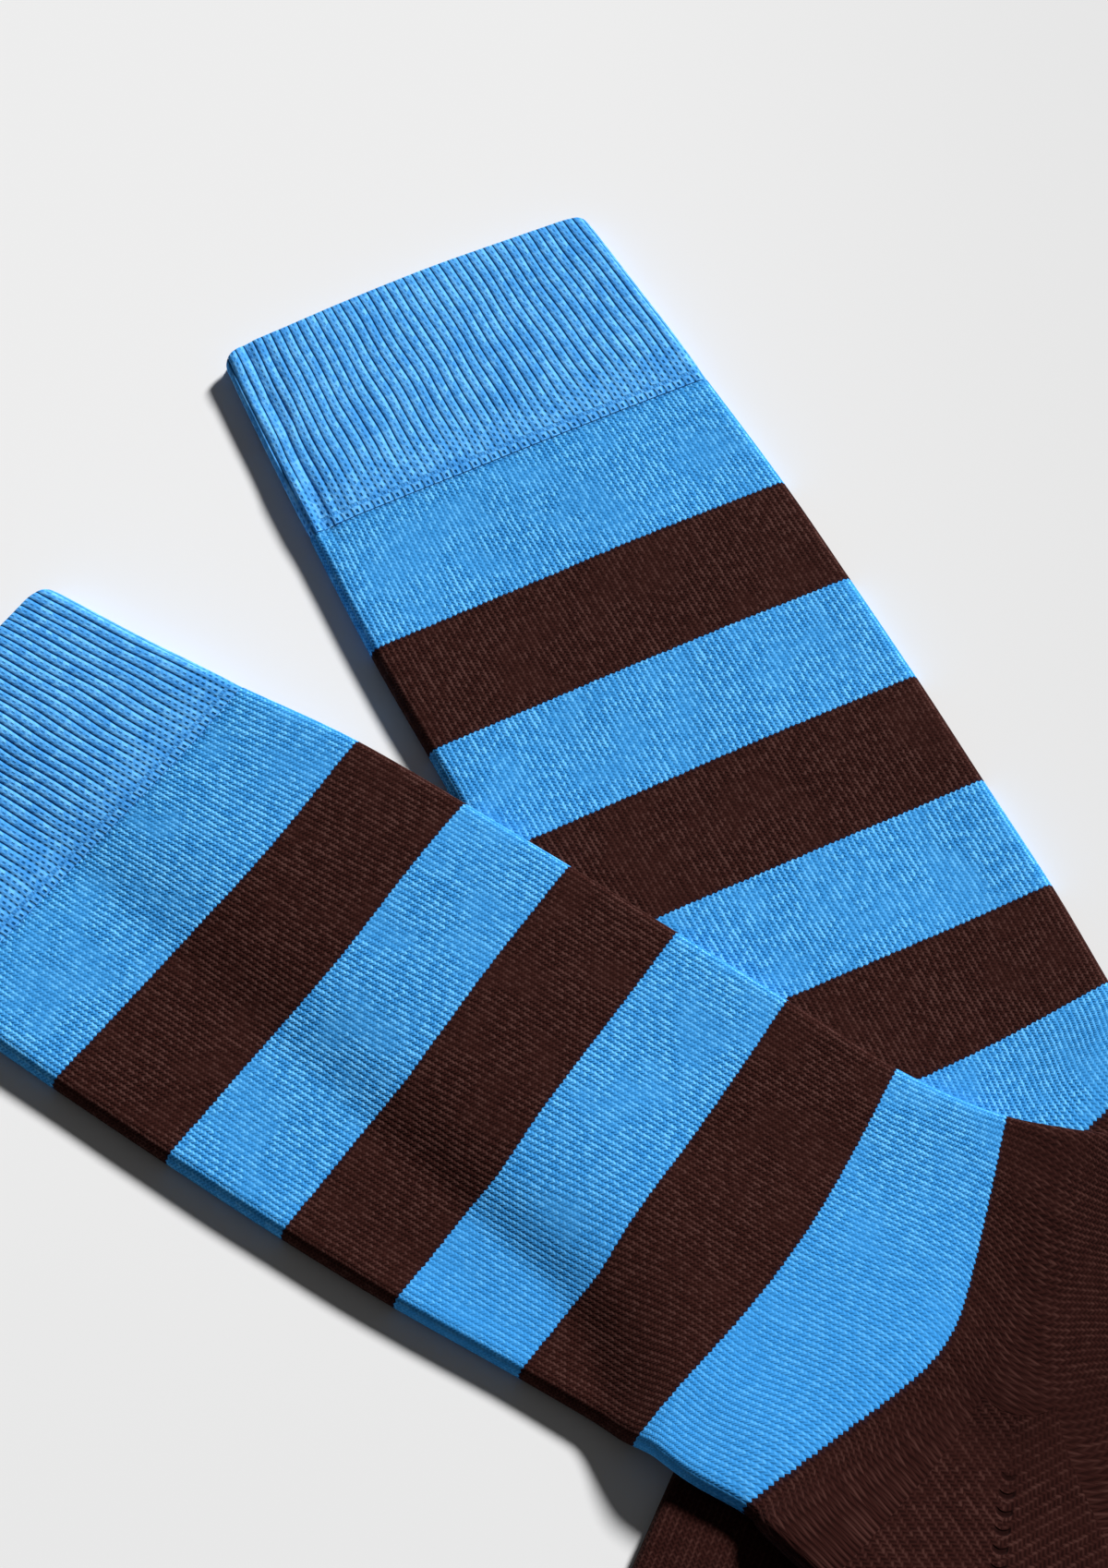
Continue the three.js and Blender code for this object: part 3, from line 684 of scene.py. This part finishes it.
def toe(name, sock):
    """The toe pocket, closed at its tip."""
    start, end, tip = (place_of(sock, key) for key in ("toe", "toe end", "toe tip"))
    around = tube_lines(sock, "toe")
    at = evenly(start, tip, TOE_PITCH)
    share = np.clip((at - end) / (tip - end), 0, 1)[:, None]
    thick = CLOTH_THICK + (TOE_TIP_THICK - CLOTH_THICK) * share
    wall = LEG_WALL + (TOE_TIP_WALL - LEG_WALL) * share
    outer, flat = cloth_points(sock, at, around, 0, thick)
    inner, _ = cloth_points(sock, at, around, wall, thick)
    no_gore = smooth_map(grid_map(np.zeros(len(around) + 1), np.full(len(at), FAR_FROM_GORE)))
    maps = {"Knit": jersey_map(sock, around, at, flat), "Gore": no_gore}
    height = np.array([TOE_TIP_THICK / 2])
    poles = [placed(sock, sock["pole"][key][None], height)[0] for key in ("outer", "inner")]
    closing = {"points": np.array(poles), "beyond": {"Knit": np.array([0, 2.0])}}
    return cloth_wall(name, outer, inner, maps, tip=closing, mirrored=sock["placing"]["mirrored"])


# Finishes

class Wire:
    """A value in a finish that changes over the surface. Sums on it add Math nodes."""

    def __init__(self, finish, socket):
        self.finish, self.socket = finish, socket

    def maths(self, operation, *others):
        return self.finish.add("ShaderNodeMath", {"operation": operation}, dict(enumerate([self, *others])))

    def __add__(self, other):
        return self.maths("ADD", other)

    def __mul__(self, other):
        return self.maths("MULTIPLY", other)

    __radd__, __rmul__ = __add__, __mul__

    def __sub__(self, other):
        return self.maths("SUBTRACT", other)

    def __rsub__(self, other):
        return self * -1 + other

    def __truediv__(self, other):
        return self.maths("DIVIDE", other)

    def __pow__(self, other):
        return self.maths("POWER", other)

    def __abs__(self):
        return self.maths("ABSOLUTE")

    def __gt__(self, other):
        return self.maths("GREATER_THAN", other)

    def fraction(self):
        return self.maths("FRACT")

    def floor(self):
        return self.maths("FLOOR")

    def smooth_between(self, low, high, at_low=0.0, at_high=1.0):
        settings = {"interpolation_type": "SMOOTHSTEP"}
        inputs = {0: self, 1: low, 2: high, 3: at_low, 4: at_high}
        return self.finish.add("ShaderNodeMapRange", settings, inputs)


class Finish:
    """A material that is written as expressions."""

    def __init__(self, name):
        self.material = bpy.data.materials.new(name)
        self.material.use_nodes = True
        self.tree = self.material.node_tree
        self.tree.nodes.clear()

    def add(self, kind, settings, inputs, output=0):
        node = self.tree.nodes.new(kind)
        for key, value in settings.items():
            setattr(node, key, value)
        for key, value in inputs.items():
            if isinstance(value, Wire):
                self.tree.links.new(value.socket, node.inputs[key])
            else:
                node.inputs[key].default_value = value
        return Wire(self, node.outputs[output]) if len(node.outputs) else node

    def surface_map(self, name):
        whole = self.add("ShaderNodeUVMap", {"uv_map": name}, {})
        across = self.add("ShaderNodeSeparateXYZ", {}, {0: whole}, 0)
        down = self.add("ShaderNodeSeparateXYZ", {}, {0: whole}, 1)
        return across, down

    def pair(self, x, y, z=0.0):
        return self.add("ShaderNodeCombineXYZ", {}, {0: x, 1: y, 2: z})

    def clouds(self, where, scale, detail=2.0, roughness=0.5):
        inputs = {"Vector": where, "Scale": scale, "Detail": detail, "Roughness": roughness}
        return self.add("ShaderNodeTexNoise", {}, inputs)

    def chance(self, where):
        return self.add("ShaderNodeTexWhiteNoise", {"noise_dimensions": "2D"}, {"Vector": where})

    def in_place(self):
        return self.add("ShaderNodeTexCoord", {}, {}, 3)

    def mix(self, share, first, second):
        colour = lambda value: value if isinstance(value, Wire) else (*value, 1.0)
        inputs = {0: share, 6: colour(first), 7: colour(second)}
        return self.add("ShaderNodeMix", {"data_type": "RGBA", "clamp_factor": True}, inputs, 2)

    def cloth(self, colour, height, relief):
        bump = self.add("ShaderNodeBump", {}, {"Strength": 1.0, "Distance": relief * MM, "Height": height})
        shader = self.add("ShaderNodeBsdfPrincipled", {}, {
            "Base Color": colour, "Roughness": 0.95, "Normal": bump, "Specular IOR Level": 0.05,
            "Sheen Weight": 0.015, "Sheen Roughness": 0.5})
        self.add("ShaderNodeOutputMaterial", {}, {"Surface": shader})
        return self.material


# The dark colours below are reached mostly in painted shade, in the gaps between the wales and in the grooves
# and holes of the ribs and the heel's gore. The pale jersey colours are reached mostly in the painted
# highlight on the lit side of the wales.
BLUE = (0.050, 0.318, 0.735)
BLUE_DARK = (0.009, 0.140, 0.420)
BLUE_PALE = (0.150, 0.540, 0.980)
BROWN = (0.0325, 0.0088, 0.0066)
BROWN_DARK = (0.0115, 0.0022, 0.0016)
BROWN_PALE = (0.0720, 0.0310, 0.0260)
BROWN_EDGE = (0.014, 0.007, 0.016)
HEEL_BROWN = (0.0250, 0.0062, 0.0047)
HEEL_PALE = (0.0540, 0.0205, 0.0165)
BLUE_SMOOTH = (0.036, 0.298, 0.765)
RIB_BLUE = (0.056, 0.298, 0.735)
RIB_DARK = (0.006, 0.110, 0.360)
RIB_PALE = (0.155, 0.510, 0.970)
FLOOR_PALE = (0.800, 0.800, 0.800)
FLOOR_SHADED = (0.745, 0.745, 0.745)
FLOOR_HALF = 3  # metres

NEAR_GORE = 20  # from the gore's corner, where the blue stitches turn smoother
SMOOTH_BETWEEN = (0.03, -0.02)  # along Y in metres, where they do so too, nearer the viewer
HEEL_TONE_BANDS = (6.8, 7.2)  # where the brown turns darker, counted in bands
OPEN_MESH_COURSES = (21.0, 28.0)
SEAM_COURSES = (29.9, 31.3)


class Jersey:
    """Plain knit: rounded wales with a painted highlight along the side of each that faces the light and
    painted shade in the gaps, where the rows show as ticks.
    """

    def __init__(self, finish, wale, course, calm):
        wander = finish.clouds(finish.pair(wale * 0.25, course * 0.09), 1.0, 2.0) - 0.5
        shake = finish.clouds(finish.pair(wale * 0.9, course * 0.5), 1.0, 0.0) - 0.5
        wale = wale + wander * 0.45 + shake * 0.25
        across = wale.fraction() - 0.5
        # Across each wale, 1 on the side that faces the key light, where the highlight is painted.
        lit = abs((wale - 0.30).fraction() - 0.5) * 2
        self.row = course + abs(across) * 1.3
        self.chance = finish.chance(finish.pair(wale.floor() + 0.5, self.row.floor() + 0.5))
        tick = 1 - abs(self.row.fraction() - 0.5).smooth_between(0.12, 0.36)
        # The painted highlight along the lit side of each wale.
        line = lit.smooth_between(0.50, 0.92) * (self.chance * 0.7 + 0.65)
        smooth = finish.clouds(finish.in_place(), 95.0, 3.0, 0.6).smooth_between(0.42, 0.66)
        smooth = smooth.maths("MAXIMUM", calm)
        streak = finish.clouds(finish.pair(wale * 0.9, course * 0.035), 1.0, 1.0) - 0.5
        # Painted highlight on the wales, lighter row ticks and painted shade in the gaps between the wales,
        # with a random tone for each stitch.
        lit_and_shaded_stitch = line * 0.56 + tick * (1 - line * 0.60) * 0.54 - 0.43 + (self.chance - 0.5) * 0.32
        self.tone = lit_and_shaded_stitch * (1 - smooth * 0.40) + 0.52 + streak * 0.20
        crest = 1 - across * across * 4
        self.height = (crest * 0.7 + tick * 0.3 + self.chance * 0.15) * (1 - smooth * 0.5)

    def coloured(self, finish, dark, middle, pale):
        # The dark tone shows mostly in the painted shade of the gaps, the pale one in the painted highlights.
        low = finish.mix(self.tone.smooth_between(-0.05, 0.55), dark, middle)
        return finish.mix(self.tone.smooth_between(0.50, 1.05), low, pale)


def striped_jersey():
    finish = Finish("striped_jersey")
    wale, course = finish.surface_map("Knit")
    step, reach = finish.surface_map("Gore")
    along, away = (GORE_STEP / NEAR_GORE)**2, (GORE_REACH / NEAR_GORE)**2
    from_gore = (step * step * along + reach * reach * away) ** 0.5
    to_viewer = finish.add("ShaderNodeSeparateXYZ", {}, {0: finish.in_place()}, 1)
    low_down = to_viewer.smooth_between(*SMOOTH_BETWEEN)
    near_gore = 1 - from_gore.smooth_between(0.35, 1.3)
    jersey = Jersey(finish, wale, course, near_gore.maths("MAXIMUM", low_down * 0.6))
    fray = finish.chance(finish.pair(wale.floor() + 0.5, 0.5)) - 0.5
    border = course + abs(wale.fraction() - 0.5) * 0.9 + fray * 0.2
    band = (border / (2 * BAND_COURSES)).fraction() * 2
    brown = band > 1
    edge = abs((band + 0.5).fraction() - 0.5) * BAND_COURSES
    at_edge = (1 - edge.smooth_between(0.2, 1.0)) * brown
    blue = jersey.coloured(finish, BLUE_DARK, BLUE, BLUE_PALE)
    blue = finish.mix(near_gore.maths("MAXIMUM", low_down * 0.8) * 0.6, blue, BLUE_SMOOTH)
    near_heel = course.smooth_between(*(band_count * BAND_COURSES for band_count in HEEL_TONE_BANDS))
    brown_here = finish.mix(near_heel, BROWN, HEEL_BROWN)
    dark = jersey.coloured(finish, BROWN_DARK, brown_here, finish.mix(near_heel, BROWN_PALE, HEEL_PALE))
    dark = finish.mix(at_edge * 0.55, dark, BROWN_EDGE)
    colour = finish.mix(brown, blue, dark)
    ragged = finish.clouds(finish.pair(wale * 0.9, course * 0.8), 1.0, 1.0)
    join = (1 - abs(course).smooth_between(0.6, 2.2)) * ragged.smooth_between(0.46, 0.56)
    colour = finish.mix(join * 0.45, colour, RIB_DARK)
    return finish.cloth(colour, jersey.height - join * 0.45, 0.13)


def brown_jersey():
    finish = Finish("brown_jersey")
    wale, course = finish.surface_map("Knit")
    step, reach = finish.surface_map("Gore")
    near_corner = 1 - abs(step - 1.0).smooth_between(0.5, 2.5)
    jersey = Jersey(finish, wale, course, near_corner.maths("MAXIMUM", 0.35))
    line = 1 - abs(reach).smooth_between(0.70, 1.1)
    below = step.smooth_between(1.6, 3.6) * line
    loop = (step + reach * reach * 0.22).fraction()
    hole = (1 - abs(loop - 0.5).smooth_between(0.08, 0.20)) * below
    lip = (1 - abs(loop - 0.78).smooth_between(0.04, 0.16)) * below
    # The gore's holes are painted darker, painted shade inside them, and the lips beside them lighter, a
    # painted highlight, as well as being sunk and raised in the bump.
    jersey.tone = jersey.tone - hole * 1.6 + lip * 0.40
    relief = jersey.height * (1 - below * 0.6) - hole * 1.7 + lip * 0.5
    return finish.cloth(jersey.coloured(finish, BROWN_DARK, HEEL_BROWN, HEEL_PALE), relief, 0.12)


def blue_rib_knit():
    finish = Finish("blue_rib_knit")
    rib, course = finish.surface_map("Knit")
    wander = finish.clouds(finish.pair(rib * 0.6, course * 0.16), 1.0, 2.0) - 0.5
    rib = rib + wander * 0.22
    away = abs(rib.fraction() - 0.5) * 2
    row = course + away * 0.6
    chance = finish.chance(finish.pair((rib * 2).floor() + 0.5, row.floor() + 0.5))
    patch = finish.clouds(finish.in_place(), 130.0, 3.0, 0.6) - 0.5
    open_mesh = course.smooth_between(*OPEN_MESH_COURSES)
    beat = abs(course.fraction() - 0.5)
    # The holes, the grooves between the ribs and the gaps of the open mesh are painted darker: painted shade
    # in these recesses.
    hole = (1 - away.smooth_between(0.10, 0.34)) * (1 - beat.smooth_between(0.14, 0.34))
    gap = away.smooth_between(0.62, 0.92) * beat.smooth_between(0.16, 0.40)
    groove = away.smooth_between(0.76, 0.97) * (chance * 0.5 + 0.75)
    thread = 1 - abs(row.fraction() - 0.5).smooth_between(0.12, 0.36)
    ragged = finish.clouds(finish.pair(rib * 1.9, course * 1.2), 1.0, 1.0)
    stagger = abs((rib * 2 + course.floor() * 0.5).fraction() - 0.5)
    dots = (1 - stagger.smooth_between(0.14, 0.36)) * (1 - beat.smooth_between(0.18, 0.42))
    seam = (course + ragged * 1.6).smooth_between(*SEAM_COURSES) * dots * (chance * 0.8 + 0.2)
    dark = groove * (1 - open_mesh) + gap * open_mesh
    # This sinks the bump and paints shade into the grooves, gaps and holes; it also darkens the seam's dots.
    sunk_and_shaded = dark * 0.56 + hole * (open_mesh * 0.22 + 0.36) + seam * 0.55
    tone = patch * 0.55 - sunk_and_shaded + (chance - 0.5) * 0.34 + thread * 0.10 + 0.70
    colour = finish.mix(tone.smooth_between(-0.05, 0.55), RIB_DARK, RIB_BLUE)
    colour = finish.mix(tone.smooth_between(0.50, 1.05), colour, RIB_PALE)
    return finish.cloth(colour, (1 - away * away) * 0.4 + thread * 0.1 - sunk_and_shaded, 0.22)


def floor_finish():
    finish = Finish("floor")
    place = finish.in_place()
    # The floor is painted darker towards the right and towards the near side, painted shade where the light
    # falls off; the clouds give it a faint uneven tone of its own.
    to_right = finish.add("ShaderNodeSeparateXYZ", {}, {0: place}, 0).smooth_between(-0.10, 0.06)
    nearer = finish.add("ShaderNodeSeparateXYZ", {}, {0: place}, 1).smooth_between(0.10, -0.05) * 0.7
    cloud = (finish.clouds(place, 2.0, 2.0) - 0.5) * 0.3
    colour = finish.mix(to_right.maths("MAXIMUM", nearer) + cloud, FLOOR_PALE, FLOOR_SHADED)
    shader = finish.add("ShaderNodeBsdfPrincipled", {}, {
        "Base Color": colour, "Roughness": 1.0, "Specular IOR Level": 0.0})
    finish.add("ShaderNodeOutputMaterial", {}, {"Surface": shader})
    return finish.material


FINISHES = {
    "blue_rib_knit": blue_rib_knit(), "striped_jersey": striped_jersey(), "brown_jersey": brown_jersey(),
}
PIECES = [
    ("cuff", cuff, "blue_rib_knit"), ("leg_and_foot", leg_and_foot, "striped_jersey"),
    ("heel", heel, "brown_jersey"), ("toe", toe, "brown_jersey"),
]


def make_sock(name, sock):
    for part, make, finish in PIECES:
        piece = make(f"{name}_{part}_knit", sock)
        piece.data.materials.append(FINISHES[finish])
        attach(piece, "root")
        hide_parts(f"{name}_{part}")


def make_floor():
    half = FLOOR_HALF
    corners = [(-half, -half), (half, -half), (half, half), (-half, half)]
    mesh = bpy.data.meshes.new("floor")
    mesh.from_pydata([(x, y, 0) for x, y in corners], [], [(0, 1, 2, 3)])
    piece = bpy.data.objects.new("floor", mesh)
    bpy.context.scene.collection.objects.link(piece)
    mesh.materials.append(floor_finish())


def make_light():
    sun = bpy.data.lights.new("key", "SUN")
    sun.energy = KEY_POWER
    sun.angle = math.radians(KEY_SIZE)
    lamp = bpy.data.objects.new("key", sun)
    bpy.context.scene.collection.objects.link(lamp)
    lamp.rotation_euler = (math.radians(90 - KEY_HEIGHT), 0, math.radians(180 - KEY_FROM))
    world = bpy.data.worlds.new("studio")
    bpy.context.scene.world = world
    world.use_nodes = True
    world.node_tree.nodes["Background"].inputs["Color"].default_value = (1, 1, 1, 1)
    world.node_tree.nodes["Background"].inputs["Strength"].default_value = FILL


def make_camera():
    lens = bpy.data.cameras.new("camera")
    lens.sensor_width = SENSOR
    lens.lens = FOCAL_PIXELS / max(PICTURE) * SENSOR
    lens.clip_start, lens.clip_end = 0.01, 20
    camera = bpy.data.objects.new("camera", lens)
    bpy.context.scene.collection.objects.link(camera)
    camera.location = [v * MM for v in (PICTURE_CENTRE[0], PICTURE_CENTRE[1] - CAMERA_BACK, CAMERA_HEIGHT)]
    camera.rotation_euler = (math.radians(CAMERA_TILT), 0, 0)
    bpy.context.scene.camera = camera


make_camera()
make_floor()
make_light()
make_sock("lower_sock", lower_sock)
make_sock("upper_sock", upper_sock)
bpy.context.scene.view_settings.view_transform = "Standard"
